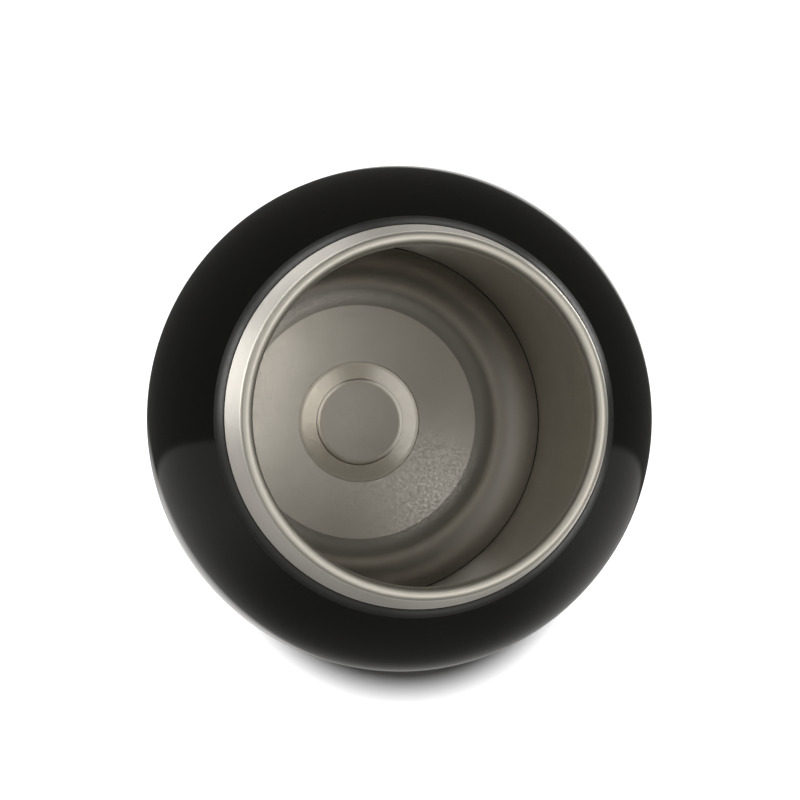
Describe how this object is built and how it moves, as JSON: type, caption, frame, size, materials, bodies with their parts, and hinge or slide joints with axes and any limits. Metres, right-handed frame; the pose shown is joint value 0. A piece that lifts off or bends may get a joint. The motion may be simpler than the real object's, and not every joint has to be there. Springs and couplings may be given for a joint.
{
  "type": "growler",
  "caption": "Double-walled vacuum insulated steel growler with a wide rolled mouth, flared bare neck, round black coated shoulder and body, and a ring-shaped rubber base pad.",
  "frame": {"origin": "centre of the resting face of the base pad", "axes": "+Z along the axis of the growler, up towards the mouth; the growler is round about Z"},
  "size_m": [0.128, 0.128, 0.214],
  "materials": {
    "shell_steel": "satin, turned round the neck",
    "black_coat": "gloss black",
    "wet_steel": "satin, electropolished",
    "floor_steel": "satin, fine grain",
    "weld_steel": "ground weld",
    "bottom_steel": "pressed, dull",
    "cover_steel": "radially brushed",
    "holder_steel": "pressed, plain",
    "shield_foil": "bright foil",
    "solder_bead": "glossy glass solder",
    "bond_tape": "matt tape",
    "pad_rubber": "matt",
    "getter_alloy": "matt, pressed powder"
  },
  "bodies": {
    "root": {"outer_shell": "shell_steel", "powder_coat": "black_coat", "inner_shell": "wet_steel", "mouth_weld": "weld_steel", "inner_bottom": "floor_steel", "inner_seam_weld": "weld_steel", "heat_shield": "shield_foil", "outer_bottom": "bottom_steel", "base_weld": "weld_steel", "port_seal": "solder_bead", "pad_tape": "bond_tape", "base_pad": "pad_rubber", "cover_tape": "bond_tape", "base_cover": "cover_steel", "getter_pellet": "getter_alloy", "getter_holder": "holder_steel"}
  },
  "joints": []
}
